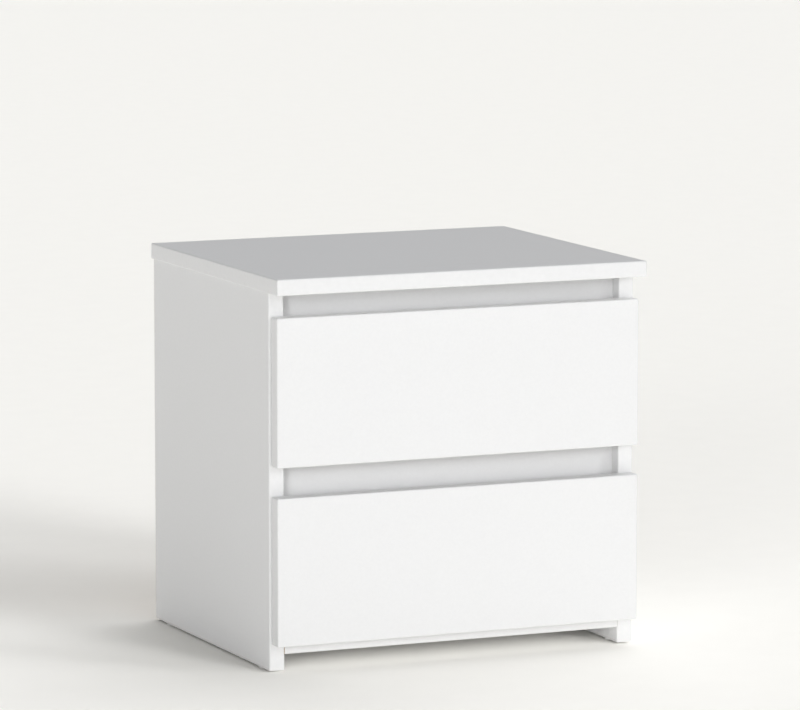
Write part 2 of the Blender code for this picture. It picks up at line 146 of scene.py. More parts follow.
class Finish:
    """A Principled material and the texture nodes that feed it, all in the piece's own coordinates."""

    def __init__(self, name, colour, roughness, metallic=0.0, specular=0.5):
        self.material = bpy.data.materials.new(name)
        self.material.use_nodes = True
        self.nodes = self.material.node_tree.nodes
        self.links = self.material.node_tree.links
        self.shader = self.nodes["Principled BSDF"]
        self.shader.inputs["Base Color"].default_value = (*colour, 1.0)
        self.shader.inputs["Roughness"].default_value = roughness
        self.shader.inputs["Metallic"].default_value = metallic
        self.shader.inputs["Specular IOR Level"].default_value = specular
        self.place = self.nodes.new("ShaderNodeTexCoord").outputs["Object"]

    def stretched(self, stretch):
        """The piece's coordinates with features drawn out by stretch along each axis."""
        mapping = self.nodes.new("ShaderNodeMapping")
        mapping.inputs["Scale"].default_value = [1 / length for length in stretch]
        self.links.new(self.place, mapping.inputs["Vector"])
        return mapping.outputs["Vector"]

    def noise(self, size, detail=2.0, stretch=(1, 1, 1)):
        """Soft noise whose features are about size across."""
        texture = self.nodes.new("ShaderNodeTexNoise")
        texture.inputs["Scale"].default_value = 1 / size
        texture.inputs["Detail"].default_value = detail
        self.links.new(self.stretched(stretch), texture.inputs["Vector"])
        return texture.outputs["Fac"]

    def cells(self, size, stretch):
        """Voronoi cells about size across, each of one random colour."""
        texture = self.nodes.new("ShaderNodeTexVoronoi")
        texture.inputs["Scale"].default_value = 1 / size
        self.links.new(self.stretched(stretch), texture.inputs["Vector"])
        return texture.outputs["Color"]

    def ramp(self, source, stops):
        """source mapped through (position, colour) stops."""
        ramp = self.nodes.new("ShaderNodeValToRGB")
        points = ramp.color_ramp.elements
        while len(points) < len(stops):
            points.new(0.5)
        for point, (position, colour) in zip(points, stops):
            point.position = position
            point.color = (*colour, 1.0)
        self.links.new(source, ramp.inputs["Fac"])
        return ramp.outputs["Color"]

    def mixed(self, amount, first, second, blend="MIX"):
        """Two colours mixed by amount."""
        mix = self.nodes.new("ShaderNodeMix")
        mix.data_type = "RGBA"
        mix.blend_type = blend
        mix.inputs[0].default_value = amount
        self.links.new(first, mix.inputs[6])
        self.links.new(second, mix.inputs[7])
        return mix.outputs[2]

    def coloured(self, source):
        self.links.new(source, self.shader.inputs["Base Color"])

    def roughened(self, source, low, high):
        """Roughness runs from low to high with source."""
        spread = self.nodes.new("ShaderNodeMapRange")
        spread.inputs["To Min"].default_value = low
        spread.inputs["To Max"].default_value = high
        self.links.new(source, spread.inputs["Value"])
        self.links.new(spread.outputs["Result"], self.shader.inputs["Roughness"])

    def bumped(self, source, height):
        """Relief of about height from source."""
        bump = self.nodes.new("ShaderNodeBump")
        bump.inputs["Distance"].default_value = height
        bump.inputs["Strength"].default_value = 1.0
        self.links.new(source, bump.inputs["Height"])
        self.links.new(bump.outputs["Normal"], self.shader.inputs["Normal"])


def grey(level, warmth=0.0):
    """A grey, or with warmth one a little redder and less blue."""
    return (level * (1 + warmth), level, level * (1 - warmth))


def foil_finish():
    """White melamine foil: a fine pearl grain, with the chips below only just altering its shade."""
    made = Finish("white_melamine", grey(0.82), 0.42, specular=0.35)
    pearl = made.noise(0.9 * MM, detail=3)
    chips = made.noise(3 * MM, detail=4)
    made.coloured(made.ramp(chips, [(0.3, grey(0.812)), (0.7, grey(0.828))]))
    made.roughened(pearl, 0.38, 0.47)
    made.bumped(pearl, 0.006 * MM)
    return made.material


def band_finish():
    """Plastic edge band: smoother than the foil, with faint scraper lines along its length."""
    made = Finish("white_edge_band", grey(0.82), 0.36, specular=0.4)
    haze = made.noise(5 * MM, detail=2)
    scraped = made.noise(0.35 * MM, detail=2, stretch=(1, 1, 60))
    made.coloured(made.ramp(haze, [(0.3, grey(0.81)), (0.7, grey(0.83))]))
    made.roughened(haze, 0.32, 0.42)
    made.bumped(scraped, 0.008 * MM)
    return made.material


def chipboard_finish():
    """Raw chipboard edge: pressed chips in several browns, the darkest of them a painted shade standing
    for the open gaps between chips.
    """
    made = Finish("raw_chipboard", (0.42, 0.28, 0.16), 0.85, specular=0.2)
    chips = made.cells(2.2 * MM, stretch=(2.5, 2.5, 0.8))
    fine = made.cells(0.7 * MM, stretch=(2, 2, 1))
    # the darkest brown is painted shade, standing for the shade in the open gaps between the chips
    painted_gap_shade, dark = (0.27, 0.165, 0.085), (0.47, 0.32, 0.18)
    light, pale = (0.62, 0.46, 0.29), (0.72, 0.58, 0.40)
    browns = [(0.0, painted_gap_shade), (0.35, dark), (0.7, light), (1.0, pale)]
    made.coloured(made.mixed(0.4, made.ramp(chips, browns), made.ramp(fine, browns)))
    made.bumped(made.noise(0.8 * MM, detail=6), 0.25 * MM)
    return made.material


def hardboard_finish():
    """Brown hardboard: matted fibres, mottled, with a soft sheen from the press."""
    made = Finish("brown_hardboard", (0.41, 0.27, 0.15), 0.62, specular=0.3)
    clouds = made.noise(60 * MM, detail=5)
    fibres = made.noise(1.5 * MM, detail=7)
    shade = made.ramp(clouds, [(0.3, (0.405, 0.265, 0.147)), (0.7, (0.455, 0.305, 0.175))])
    fleck = made.ramp(fibres, [(0.35, (0.72, 0.70, 0.68)), (0.65, (1.0, 1.0, 1.0))])
    made.coloured(made.mixed(1.0, shade, fleck, "MULTIPLY"))
    made.roughened(fibres, 0.5, 0.75)
    made.bumped(fibres, 0.05 * MM)
    return made.material


def lacquer_finish():
    """Hardboard's white lacquered face: thin paint in which the fibres still show."""
    made = Finish("white_lacquer", grey(0.78, 0.004), 0.45, specular=0.35)
    fibres = made.noise(1.2 * MM, detail=5)
    clouds = made.noise(30 * MM, detail=2)
    made.coloured(made.ramp(clouds, [(0.3, grey(0.765, 0.006)), (0.7, grey(0.79, 0.004))]))
    made.roughened(fibres, 0.36, 0.55)
    made.bumped(fibres, 0.04 * MM)
    return made.material


def enamel_finish():
    """Epoxy powder coat on the runners: glossy, with an orange-peel surface."""
    made = Finish("white_powder_coat", grey(0.79, 0.004), 0.28, specular=0.5)
    peel = made.noise(1.6 * MM, detail=1)
    dust = made.noise(9 * MM, detail=4)
    made.coloured(made.ramp(dust, [(0.3, grey(0.78, 0.006)), (0.7, grey(0.80, 0.004))]))
    made.roughened(dust, 0.27, 0.32)
    made.bumped(peel, 0.012 * MM)
    return made.material


def nylon_finish():
    """Moulded white nylon: slightly translucent and waxy."""
    made = Finish("white_nylon", (0.80, 0.79, 0.75), 0.38, specular=0.45)
    made.shader.inputs["Subsurface Weight"].default_value = 0.25
    made.shader.inputs["Subsurface Radius"].default_value = (1.0, 0.9, 0.7)
    made.shader.inputs["Subsurface Scale"].default_value = 1.0 * MM
    flow = made.noise(2.5 * MM, detail=3)
    made.coloured(made.ramp(flow, [(0.3, (0.78, 0.77, 0.73)), (0.7, (0.82, 0.81, 0.77))]))
    made.roughened(flow, 0.32, 0.46)
    made.bumped(made.noise(0.4 * MM, detail=2), 0.01 * MM)
    return made.material


def zinc_plate_finish():
    """Bright zinc plating on screws, nails and pins: bluish, with rubbed patches."""
    made = Finish("zinc_plate", (0.62, 0.64, 0.66), 0.3, metallic=1.0)
    patches = made.noise(1.5 * MM, detail=4)
    made.coloured(made.ramp(patches, [(0.3, (0.50, 0.52, 0.55)), (0.7, (0.68, 0.69, 0.70))]))
    made.roughened(patches, 0.22, 0.42)
    made.bumped(made.noise(0.25 * MM, detail=2), 0.01 * MM)
    return made.material


def die_cast_finish():
    """Die-cast zinc of the cams: dull and slightly pitted."""
    made = Finish("die_cast_zinc", (0.50, 0.50, 0.51), 0.45, metallic=1.0)
    pits = made.noise(0.6 * MM, detail=5)
    tarnish = made.noise(4 * MM, detail=3)
    made.coloured(made.ramp(tarnish, [(0.3, (0.40, 0.40, 0.41)), (0.7, (0.56, 0.56, 0.56))]))
    made.roughened(pits, 0.36, 0.62)
    made.bumped(pits, 0.04 * MM)
    return made.material


def glide_finish():
    """Moulded plastic of the floor glides, a little scuffed."""
    made = Finish("white_glide_plastic", grey(0.76, 0.006), 0.45)
    scuffs = made.noise(0.8 * MM, detail=4, stretch=(4, 1, 1))
    made.coloured(made.ramp(scuffs, [(0.3, grey(0.70, 0.01)), (0.6, grey(0.78, 0.006))]))
    made.roughened(scuffs, 0.35, 0.6)
    made.bumped(scuffs, 0.02 * MM)
    return made.material


foil = foil_finish()
edge_band = band_finish()
chipboard = chipboard_finish()
hardboard = hardboard_finish()
lacquer = lacquer_finish()
enamel = enamel_finish()
nylon = nylon_finish()
zinc_plate = zinc_plate_finish()
die_cast = die_cast_finish()
glide_plastic = glide_finish()


# --- Mesh tools -----------------------------------------------------------------------------------


def mesh_of(shape, name):
    """A bmesh as a mesh, shaded smooth except across its sharp edges."""
    bmesh.ops.recalc_face_normals(shape, faces=shape.faces)
    mesh = bpy.data.meshes.new(name)
    shape.to_mesh(mesh)
    shape.free()
    mesh.shade_smooth()
    mesh.set_sharp_from_angle(angle=SHARP_ANGLE)
    return mesh


def new_object(name, mesh, materials):
    made = bpy.data.objects.new(name, mesh)
    bpy.context.scene.collection.objects.link(made)
    for material in materials:
        mesh.materials.append(material)
    return made


def keep_flat_faces(piece):
    """Weighted normals, so that a rounded edge doesn't shade the flat face beside it."""
    weigh = piece.modifiers.new("weighted_normals", "WEIGHTED_NORMAL")
    weigh.keep_sharp = True
    weigh.weight = 100


def applied(piece):
    """piece with its modifiers applied to its mesh."""
    bpy.context.view_layer.update()
    graph = bpy.context.evaluated_depsgraph_get()
    mesh = bpy.data.meshes.new_from_object(piece.evaluated_get(graph))
    piece.modifiers.clear()
    piece.data = mesh
    return piece


def combine(piece, shape, operation, material_index=0):
    """Take a closed bmesh, which may have several separate bodies, out of piece or unite it with piece."""
    bmesh.ops.recalc_face_normals(shape, faces=shape.faces)
    for face in shape.faces:
        face.material_index = material_index
    mesh = bpy.data.meshes.new("tool")
    shape.to_mesh(mesh)
    shape.free()
    tool = bpy.data.objects.new("tool", mesh)
    bpy.context.scene.collection.objects.link(tool)
    boolean = piece.modifiers.new("boolean", "BOOLEAN")
    boolean.operation = operation
    boolean.solver = "EXACT"
    boolean.object = tool
    applied(piece)
    bpy.data.objects.remove(tool)
    piece.data.set_sharp_from_angle(angle=SHARP_ANGLE)


def cut(piece, shape, material_index=0):
    combine(piece, shape, "DIFFERENCE", material_index)


def facing(direction):
    """The rotation that turns +Z to direction."""
    return Vector(direction).to_track_quat("Z", "Y").to_matrix().to_4x4()


def add_cylinder(shape, place, direction, radius, length, end_radius=None, steps=ROUND_STEPS):
    """A closed cylinder or cone from place, length along direction, added to a bmesh."""
    end_radius = radius if end_radius is None else end_radius
    matrix = Matrix.Translation(place) @ facing(direction) @ Matrix.Translation((0, 0, length / 2))
    bmesh.ops.create_cone(
        shape,
        cap_ends=True,
        segments=steps,
        radius1=radius,
        radius2=end_radius,
        depth=length,
        matrix=matrix,
    )


def add_box(shape, low, high):
    low, high = Vector(low), Vector(high)
    matrix = Matrix.Translation((low + high) / 2) @ Matrix.Diagonal((*(high - low), 1.0))
    return bmesh.ops.create_cube(shape, size=1.0, matrix=matrix)["verts"]


def turned_mesh(name, profile, steps=ROUND_STEPS):
    """A turned mesh on the Z axis from (radius, height) points down its outer side."""
    outline = bpy.data.meshes.new(name)
    points = [(radius, 0.0, height) for radius, height in profile]
    edges = [(i, i + 1) for i in range(len(points) - 1)]
    if profile[0][0] > 0:
        edges.append((len(points) - 1, 0))
    outline.from_pydata(points, edges, [])
    blank = bpy.data.objects.new(name, outline)
    bpy.context.scene.collection.objects.link(blank)
    spin = blank.modifiers.new("turned", "SCREW")
    spin.steps = steps
    spin.render_steps = steps
    spin.use_merge_vertices = True
    spin.merge_threshold = 0.01 * MM
    mesh = applied(blank).data
    bpy.data.objects.remove(blank)
    mesh.shade_smooth()
    mesh.set_sharp_from_angle(angle=SHARP_ANGLE)
    return mesh


def arc(centre, radius, start, end, steps=5):
    """Points on an arc, angles in degrees, both ends included."""
    angles = [math.radians(start + (end - start) * i / steps) for i in range(steps + 1)]
    return [(centre[0] + radius * math.cos(a), centre[1] + radius * math.sin(a)) for a in angles]


def copies(name, mesh, matrices, material, body):
    """One piece made of a copy of mesh at each matrix."""
    shape = bmesh.new()
    for matrix in matrices:
        before = len(shape.verts)
        shape.from_mesh(mesh)
        shape.verts.ensure_lookup_table()
        bmesh.ops.transform(shape, matrix=matrix, verts=shape.verts[before:])
    joined = bpy.data.meshes.new(name)
    shape.to_mesh(joined)
    shape.free()
    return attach(new_object(name, joined, [material]), body)


# --- Boards ---------------------------------------------------------------------------------------


def on_side(edge, side, low, high):
    """Whether an edge lies in one side, an (axis, sign), of the box from low to high."""
    axis, sign = side
    level = (high if sign > 0 else low)[axis]
    return all(abs(vert.co[axis] - level) < TOUCH for vert in edge.verts)


def board_mesh(name, low, high, banded, butted):
    """A faced board. Banded sides have a rounded edge band with a hairline seam, the others are raw.

    Butted sides stay square, so that they close up against the next board.
    """
    thin = min(range(3), key=lambda axis: (high - low)[axis])
    shape = bmesh.new()
    add_box(shape, low, high)
    narrow_sides = [(axis, sign) for axis in range(3) if axis != thin for sign in (-1, 1)]
    rounded = []
    for edge in shape.edges:
        meeting = [side for side in narrow_sides if on_side(edge, side, low, high)]
        if all(side in banded for side in meeting):
            rounded.append(edge)
    if rounded:
        bmesh.ops.bevel(
            shape,
            geom=rounded,
            offset=BAND_RADIUS,
            segments=BAND_SEGMENTS,
            profile=0.5,
            affect="EDGES",
        )
    square = [edge for edge in shape.edges if edge.calc_face_angle() > SQUARE_ANGLE]
    crisp = [edge for edge in square if not any(on_side(edge, side, low, high) for side in butted)]
    if crisp:
        bmesh.ops.bevel(shape, geom=crisp, offset=RAW_ARRIS, segments=1, affect="EDGES")
    for axis, sign in banded:
        cut_seam(shape, low, high, axis, sign, thin)
    assign_board_faces(shape, low, high, banded, thin)
    return mesh_of(shape, name)


def cut_seam(shape, low, high, axis, sign, thin):
    """The hairline where a side's edge band meets the foil, on both faces of the board."""
    edge = (high if sign > 0 else low)[axis]
    middle = edge - sign * (BAND + SEAM_WIDTH / 2)
    normal = [0.0, 0.0, 0.0]
    normal[axis] = 1.0
    for offset in (-SEAM_WIDTH / 2, 0.0, SEAM_WIDTH / 2):
        place = Vector((low + high) / 2)
        place[axis] = middle + offset
        geometry = shape.verts[:] + shape.edges[:] + shape.faces[:]
        bmesh.ops.bisect_plane(shape, geom=geometry, plane_co=place, plane_no=normal, dist=1e-8)
    for vert in shape.verts:
        if abs(vert.co[axis] - middle) < TOUCH:
            for level, inward in ((low[thin], 1), (high[thin], -1)):
                if abs(vert.co[thin] - level) < TOUCH:
                    vert.co[thin] += inward * SEAM_DEPTH


def assign_board_faces(shape, low, high, banded, thin):
    """Foil on the broad faces, edge band round the banded sides and raw chipboard on the others."""
    shape.normal_update()
    narrow_axes = [axis for axis in range(3) if axis != thin]
    for face in shape.faces:
        normal = face.normal
        centre = face.calc_center_median()
        if abs(normal[thin]) > 0.9:
            reach = [abs(centre[axis] - (high if sign > 0 else low)[axis]) for axis, sign in banded]
            face.material_index = BAND_FACE if reach and min(reach) < BAND else FOIL_FACE
            continue
        axis = max(narrow_axes, key=lambda one: abs(normal[one]))
        side = (axis, 1 if normal[axis] > 0 else -1)
        face.material_index = BAND_FACE if side in banded else RAW_FACE


def board(node, body, banded, butted):
    """A finished board in place of a CAD board, drawn up to its neighbours at its butted sides."""
    low, high = (Vector(corner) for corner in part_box(node))
    for axis, sign in butted:
        (high if sign > 0 else low)[axis] += sign * BUTT_TAKEN_UP
    mesh = board_mesh(node, low, high, banded, butted)
    piece = new_object(node + "_board", mesh, [foil, edge_band, chipboard])
    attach(piece, body)
    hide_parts(node)
    return piece


def hardboard_sheet(node, body, white_side):
    """A thin hardboard sheet in place of its CAD solid, lacquered white on one side."""
    low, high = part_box(node)
    shape = bmesh.new()
    add_box(shape, low, high)
    bmesh.ops.bevel(shape, geom=shape.edges[:], offset=0.2 * MM, segments=1, affect="EDGES")
    shape.normal_update()
    axis, sign = white_side
    for face in shape.faces:
        face.material_index = 1 if face.normal[axis] * sign > 0.9 else 0
    piece = new_object(node + "_sheet", mesh_of(shape, node), [hardboard, lacquer])
    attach(piece, body)
    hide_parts(node)
    return piece


# --- Fittings -------------------------------------------------------------------------------------


def cut_cross(piece, reach, width, depth, taper=0.55):
    """Cut a cross-point recess, its mouth at z = 0 and its tip at -depth, one arm after the other."""
    for along, across in ((reach, width), (width, reach)):
        arm = bmesh.new()
        for vert in add_box(arm, (-along, -across, -depth), (along, across, 0.3 * MM)):
            if vert.co.z < 0:
                vert.co.x *= taper
                vert.co.y *= taper
        cut(piece, arm)


def finished_mesh(piece):
    """A scratch object's mesh, once the object is gone."""
    mesh = piece.data
    bpy.data.objects.remove(piece)
    return mesh


def cam_mesh():
    """A cam housing: its slotted face, with a small arrow, at z = 0 and its body below."""
    edge = 0.5 * MM
    rim_inner = 6.2 * MM
    dish = 0.25 * MM
    profile = [(0, -dish), (rim_inner, -dish), (rim_inner + dish, 0), (CAM_RADIUS - edge, 0)]
    profile += [(CAM_RADIUS, -edge), (CAM_RADIUS, -CAM_DEPTH), (0, -CAM_DEPTH)]
    piece = new_object("cam", turned_mesh("cam", profile), [die_cast])
    cut_cross(piece, reach=3.6 * MM, width=0.8 * MM, depth=3.2 * MM)
    arrow = bmesh.new()
    add_cylinder(arrow, (0, 5.0 * MM, -0.6 * MM), (0, 0, 1), 1.1 * MM, 1 * MM, steps=3)
    cut(piece, arrow)
    return finished_mesh(piece)


def screw_mesh():
    """A countersunk screw's head, its flat top at z = 0, with a cross recess."""
    shank = 1.6 * MM
    profile = [(0, 0.1 * MM), (SCREW_HEAD_RADIUS - 0.5 * MM, 0.05 * MM), (SCREW_HEAD_RADIUS, -0.05 * MM)]
    profile += [(SCREW_HEAD_RADIUS, -0.25 * MM), (shank, -2.2 * MM), (shank, -6 * MM), (0, -6.5 * MM)]
    piece = new_object("screw", turned_mesh("screw", profile, 28), [zinc_plate])
    cut_cross(piece, reach=1.9 * MM, width=0.42 * MM, depth=1.9 * MM)
    return finished_mesh(piece)


def panel_screw_mesh():
    """A panel screw's head with a hexagon socket, its flat top at z = 0."""
    edge = 0.3 * MM
    shank = 2.4 * MM
    profile = [(0, 0), (SCREW_HEAD_RADIUS - edge, 0), (SCREW_HEAD_RADIUS, -edge)]
    profile += [(SCREW_HEAD_RADIUS, -1.6 * MM), (shank, -3 * MM), (shank, -6 * MM), (0, -6.5 * MM)]
    piece = new_object("panel_screw", turned_mesh("panel_screw", profile, 28), [zinc_plate])
    socket = bmesh.new()
    add_cylinder(socket, (0, 0, 1 * MM), (0, 0, -1), 2.3 * MM, 3.4 * MM, steps=6)
    cut(piece, socket)
    return finished_mesh(piece)


def nail_mesh():
    """A nail's flat head, its top at z = 0."""
    edge = 0.2 * MM
    shank = 0.8 * MM
    profile = [(0, 0), (NAIL_HEAD_RADIUS - 0.7 * MM, -0.02 * MM), (NAIL_HEAD_RADIUS, -edge)]
    profile += [(NAIL_HEAD_RADIUS, -0.5 * MM), (shank, -0.9 * MM), (shank, -2 * MM), (0, -2.4 * MM)]
    return turned_mesh("nail", profile, 24)


def roller_mesh():
    """A nylon roller on the Z axis: a rounded tread, recessed faces and six ribs in each."""
    half = ROLLER_WIDTH / 2
    fillet = 0.9 * MM
    hub, wall, recess = 4.9 * MM, 7.0 * MM, 1.1 * MM
    upper = [(ROLLER_BORE, half), (hub, half), (hub, half - recess), (wall, half - recess), (wall, half)]
    upper += arc((ROLLER_RADIUS - fillet, half - fillet), fillet, 90, 0)
    profile = upper + [(radius, -height) for radius, height in reversed(upper)]
    piece = new_object("roller", turned_mesh("roller", profile, 48), [nylon])
    ribs = bmesh.new()
    for number in range(6):
        turn = Matrix.Rotation(math.radians(60 * number), 4, "Z")
        for sign in (-1, 1):
            near, far = sign * (half - recess - 0.2 * MM), sign * (half - 0.25 * MM)
            low = (hub - 0.3 * MM, -0.45 * MM, min(near, far))
            high = (wall + 0.3 * MM, 0.45 * MM, max(near, far))
            bmesh.ops.transform(ribs, matrix=turn, verts=add_box(ribs, low, high))
    combine(piece, ribs, "UNION")
    return finished_mesh(piece)


def pin_mesh():
    """A roller's pin on the Z axis, its riveted head up, centred on the roller."""
    head = ROLLER_WIDTH / 2 + SEAT_GAP
    crown = 1.0 * MM
    crown_radius = 2.2 * MM
    collar = 3.2 * MM
    collar_room = 1.4 * MM
    collar_end = -head - collar_room + 2 * SEAT_GAP
    tip = -ROLLER_WIDTH / 2 - collar_room - SHEET + 0.1 * MM
    profile = [(0, head + 0.65 * crown), (0.7 * MM, head + 0.7 * crown), (1.2 * MM, head + crown)]
    crown_centre = (PIN_HEAD_RADIUS - crown_radius, head + crown - crown_radius)
    profile += arc(crown_centre, crown_radius, 80, 32)
    profile += [(PIN_HEAD_RADIUS, head + 0.3 * MM), (PIN_HEAD_RADIUS - 0.1 * MM, head)]
    profile += [(PIN_RADIUS, head), (PIN_RADIUS, -head), (collar, -head), (collar, collar_end)]
    profile += [(PIN_RADIUS, collar_end), (PIN_RADIUS, tip + 0.2 * MM)]
    profile += [(PIN_RADIUS - 0.2 * MM, tip), (0, tip)]
    return turned_mesh("pin", profile)


def glide_mesh():
    """A floor glide: a domed disc on the floor with a ribbed stem above."""
    radius = 7 * MM
    disc = 1.2 * MM
    edge = 0.4 * MM
    stem_top = disc + 10 * MM
    root = GLIDE_STEM_RADIUS - 0.4 * MM
    profile = [(0, stem_top), (GLIDE_STEM_RADIUS - 0.6 * MM, stem_top)]
    for rib in range(5):
        height = stem_top - (0.8 + 1.8 * rib) * MM
        profile += [(GLIDE_STEM_RADIUS, height), (root, height - 1.4 * MM)]
    profile += [(root, disc)]
    profile += arc((radius - edge, disc - edge), edge, 90, 0, 4)
    profile += arc((radius - edge, edge), edge, 0, -90, 4)
    profile += [(0, 0)]
    return turned_mesh("glide", profile)


# --- Pockets and fittings in the boards -----------------------------------------------------------


def middle_of(node):
    low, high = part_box(node)
    return (low + high) / 2


def between(low, high, share):
    return low + (high - low) * share


def innermost(node):
    """The least distance of a node, which lies on one side of the cabinet, from its middle plane."""
    return min(abs(corner.x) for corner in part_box(node))


def outermost(node):
    """The greatest distance of a node from the cabinet's middle plane."""
    return max(abs(corner.x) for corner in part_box(node))


def add_bore(shape, mouth, inward, radius, depth):
    """A round hole's cutter, standing a little out of the face it enters."""
    inward = Vector(inward)
    overrun = 1 * MM
    add_cylinder(shape, Vector(mouth) - inward * overrun, inward, radius, depth + overrun)


def cam_place(node, inward):
    """The middle of a cam's slotted face, which looks against inward."""
    return middle_of(node) - Vector(inward) * CAM_DEPTH / 2


def fit_cams(pieces, board_node, nodes, inward, body):
    """Cut the cams' pockets in a board and put a finished cam in place of each CAD one."""
    inward = Vector(inward)
    pockets = bmesh.new()
    for number, node in enumerate(nodes):
        place = cam_place(node, inward)
        add_bore(pockets, place - inward * CAM_RECESS, inward, CAM_RADIUS + SEAT_GAP, CAM_BORE_DEPTH)
        turn = Matrix.Rotation(CAM_FIRST_TURN + CAM_NEXT_TURN * number, 4, "Z")
        matrix = Matrix.Translation(place) @ facing(-inward) @ turn
        cam = copies(node + "_housing", cam_shape, [matrix], die_cast, body)
        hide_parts(node)
    cut(pieces[board_node], pockets, RAW_FACE)


def fit_carcass_cams(pieces):
    for side_name, side in SIDES.items():
        nodes = [f"top_cam_{place}_{side_name}" for place in ("front", "rear")]
        fit_cams(pieces, f"side_panel_{side_name}", nodes, (side, 0, 0), "carcass")
    nodes = [f"bottom_cam_{place}_{side_name}" for side_name in SIDES for place in ("front", "rear")]
    fit_cams(pieces, "bottom_panel", nodes, (0, 0, 1), "carcass")


def fit_rail_cams(pieces):
    """The cams in the rear face of each rail that draw it to the side panels."""
    for rail in ("upper_rail", "middle_rail"):
        low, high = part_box(rail)
        pockets = bmesh.new()
        matrices = []
        for side in SIDES.values():
            face = Vector((side * (high.x - CAM_FROM_END), high.y, (low.z + high.z) / 2))
            add_bore(pockets, face, (0, -1, 0), CAM_RADIUS + SEAT_GAP, CAM_BORE_DEPTH)
            sunk = Matrix.Translation(face - Vector((0, CAM_RECESS, 0)))
            matrices.append(sunk @ facing((0, 1, 0)) @ Matrix.Rotation(side, 4, "Z"))
        cut(pieces[rail], pockets, RAW_FACE)
        copies(rail + "_cams", cam_shape, matrices, die_cast, "carcass")


def fit_glides(pieces):
    for side_name in SIDES:
        bores = bmesh.new()
        for place in ("front", "rear"):
            node = f"floor_glide_{place}_{side_name}"
            low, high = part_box(node)
            middle = (low + high) / 2
            panel_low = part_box(f"side_panel_{side_name}")[0].z
            mouth = (middle.x, middle.y, panel_low)
            add_bore(bores, mouth, (0, 0, 1), GLIDE_STEM_RADIUS + SEAT_GAP, high.z - panel_low + SEAT_GAP)
            matrix = Matrix.Translation((middle.x, middle.y, low.z))
            glide = copies(node + "_disc", glide_shape, [matrix], glide_plastic, "carcass")
            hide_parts(node)
        cut(pieces[f"side_panel_{side_name}"], bores, RAW_FACE)


def fit_drawer(pieces, level):
    """A drawer's cams, the groove in its front and the screws through its sides into its back."""
    body = f"{level}_drawer"
    bottom_low, bottom_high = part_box(f"{level}_drawer_bottom")
    front_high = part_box(f"{level}_drawer_front")[1]
    groove = bmesh.new()
    half = bottom_high.x + GROOVE_MARGIN
    groove_low = (-half, front_high.y - GROOVE_DEPTH, bottom_low.z - SEAT_GAP)
    add_box(groove, groove_low, (half, front_high.y + 1 * MM, bottom_high.z + SEAT_GAP))
    cut(pieces[f"{level}_drawer_front"], groove, RAW_FACE)
    for side_name, side in SIDES.items():
        node = f"{level}_drawer_side_{side_name}"
        fit_cams(pieces, node, [f"{level}_drawer_cam_{side_name}"], (side, 0, 0), body)
        low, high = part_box(node)
        back = middle_of(f"{level}_drawer_back")
        bores = bmesh.new()
        matrices = []
        for share in PANEL_SCREW_HEIGHTS:
            face = Vector((side * outermost(node), back.y, between(low.z, high.z, share)))
            add_bore(bores, face, (-side, 0, 0), SCREW_HEAD_RADIUS + 0.1 * MM, PANEL_SCREW_BORE_DEPTH)
            sunk = Matrix.Translation(face - Vector((side * HEAD_SUNK, 0, 0)))
            matrices.append(sunk @ facing((side, 0, 0)))
        cut(pieces[node], bores, RAW_FACE)
        screws = copies(f"{node}_panel_screws", panel_screw_shape, matrices, zinc_plate, body)


def nail_sheet(piece, places, outward, body):
    """Drive nails flush into a hardboard sheet at places on its outer face."""
    outward = Vector(outward)
    dimples = bmesh.new()
    dimple_radius = NAIL_HEAD_RADIUS + NAIL_DIMPLE
    for place in places:
        mouth = Vector(place) + outward * 0.2 * MM
        add_cylinder(dimples, mouth, -outward, dimple_radius, NAIL_DIMPLE, NAIL_HEAD_RADIUS)
    cut(piece, dimples)
    sunk = Matrix.Translation(-outward * HEAD_SUNK) @ facing(outward)
    matrices = [Matrix.Translation(place) @ sunk for place in places]
    copies(piece.name + "_nails", nail_shape, matrices, zinc_plate, body)


def evenly(start, end, count):
    return [start + (end - start) * i / (count - 1) for i in range(count)]


def build_hardboard():
    """The back panel, nailed to the carcass's rear edges, and the drawer bottoms."""
    back = hardboard_sheet("back_panel", "carcass", FRONT)
    low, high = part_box("back_panel")
    edge_x = middle_of("side_panel_right").x
    heights = evenly(low.z + 30 * MM, high.z - 12 * MM, BACK_NAILS_UP)
    bottom_z = middle_of("bottom_panel").z
    places = [(side * edge_x, high.y, z) for side in SIDES.values() for z in heights]
    places += [(x, high.y, bottom_z) for x in evenly(-0.66 * edge_x, 0.66 * edge_x, BACK_NAILS_ACROSS)]
    nail_sheet(back, places, (0, 1, 0), "carcass")
    for level in LEVELS:
        node = f"{level}_drawer_bottom"
        sheet = hardboard_sheet(node, f"{level}_drawer", UPPER)
        low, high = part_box(node)
        y = middle_of(f"{level}_drawer_back").y
        places = [(x, y, low.z) for x in evenly(-0.75 * high.x, 0.75 * high.x, DRAWER_NAILS)]
        nail_sheet(sheet, places, (0, 0, -1), f"{level}_drawer")


# --- Roller runners -------------------------------------------------------------------------------


def rounded_path(corners, radius):
    """The path through corners, with each bend an arc."""
    path = [Vector(corners[0])]
    for before, corner, after in zip(corners, corners[1:], corners[2:]):
        before, corner, after = Vector(before), Vector(corner), Vector(after)
        into = (corner - before).normalized()
        out = (after - corner).normalized()
        turn = into.angle_signed(out)
        start = corner - into * radius * math.tan(abs(turn) / 2)
        centre = start + Vector((-into.y, into.x)) * math.copysign(radius, -turn)
        for i in range(BEND_STEPS + 1):
            path.append(centre + Matrix.Rotation(-turn * i / BEND_STEPS, 2) @ (start - centre))
    path.append(Vector(corners[-1]))
    return path


def sheet_outline(corners):
    """The closed outline of bent sheet whose middle follows corners."""
    path = rounded_path(corners, BEND_RADIUS)
    left, right = [], []
    for i, point in enumerate(path):
        along = (path[min(i + 1, len(path) - 1)] - path[max(i - 1, 0)]).normalized()
        across = Vector((-along.y, along.x)) * SHEET / 2
        left.append(point + across)
        right.append(point - across)
    return left + right[::-1]


